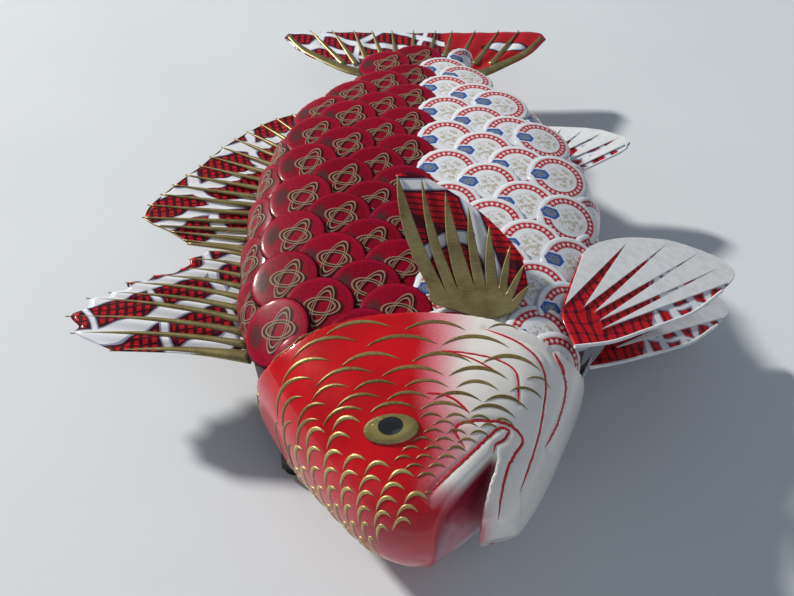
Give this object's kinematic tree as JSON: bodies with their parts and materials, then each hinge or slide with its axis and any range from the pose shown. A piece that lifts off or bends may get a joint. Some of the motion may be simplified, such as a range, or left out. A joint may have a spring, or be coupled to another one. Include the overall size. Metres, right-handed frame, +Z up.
{
  "type": "fish sculpture",
  "caption": "Sea bream sculpture lying on its side, with a lacquered head, overlapping pressed metal cap scales and sheet metal fins with tapered rays.",
  "frame": {"origin": "centre of the bounding box in plan, on the plane the rubber feet stand on", "axes": "+Y from the head to the tail, +X from the fish's back to its belly, +Z up from the floor through the side of the fish that faces up"},
  "size_m": [0.3291, 0.4013, 0.1145],
  "materials": {
    "core_wood": "carved light wood, painted dark under the caps",
    "head_lacquer": "gloss lacquer, red back fading to a white belly",
    "eye_glass": "clear domed glass",
    "iris_paint": "olive gold with a black pupil",
    "crimson_cap": "printed crimson with a gold line pattern",
    "white_cap": "printed white with a red arc",
    "fin_sheet": "printed red check with white bands",
    "brass_ray": "satin",
    "white_ray": "white gloss",
    "board_black": "black paint",
    "foot_rubber": "moulded rubber"
  },
  "bodies": {
    "root": {"body_core": "core_wood", "head_shell": "head_lacquer", "left_eye_glass": "eye_glass", "left_iris": "iris_paint", "right_eye_glass": "eye_glass", "right_iris": "iris_paint", "crimson_caps_1": "crimson_cap", "crimson_caps_2": "crimson_cap", "crimson_caps_3": "crimson_cap", "crimson_caps_4": "crimson_cap", "white_caps_1": "white_cap", "white_caps_2": "white_cap", "white_caps_3": "white_cap", "white_caps_4": "white_cap", "back_edge_caps": "crimson_cap", "belly_edge_caps": "white_cap", "crimson_caps_under": "crimson_cap", "white_caps_under": "white_cap", "spiny_dorsal": "fin_sheet", "spiny_dorsal_rays": "brass_ray", "soft_dorsal": "fin_sheet", "soft_dorsal_rays": "brass_ray", "tail_fin": "fin_sheet", "tail_rays": "brass_ray", "tail_edge_bands": "brass_ray", "anal_fin": "fin_sheet", "anal_fin_rays": "white_ray", "left_pelvic_fin": "fin_sheet", "left_pelvic_rays": "white_ray", "right_pelvic_fin": "fin_sheet", "right_pelvic_rays": "white_ray", "left_pectoral_fin": "fin_sheet", "left_pectoral_comb": "brass_ray", "back_board": "board_black", "spacers": "board_black", "rubber_feet": "foot_rubber"}
  },
  "joints": []
}
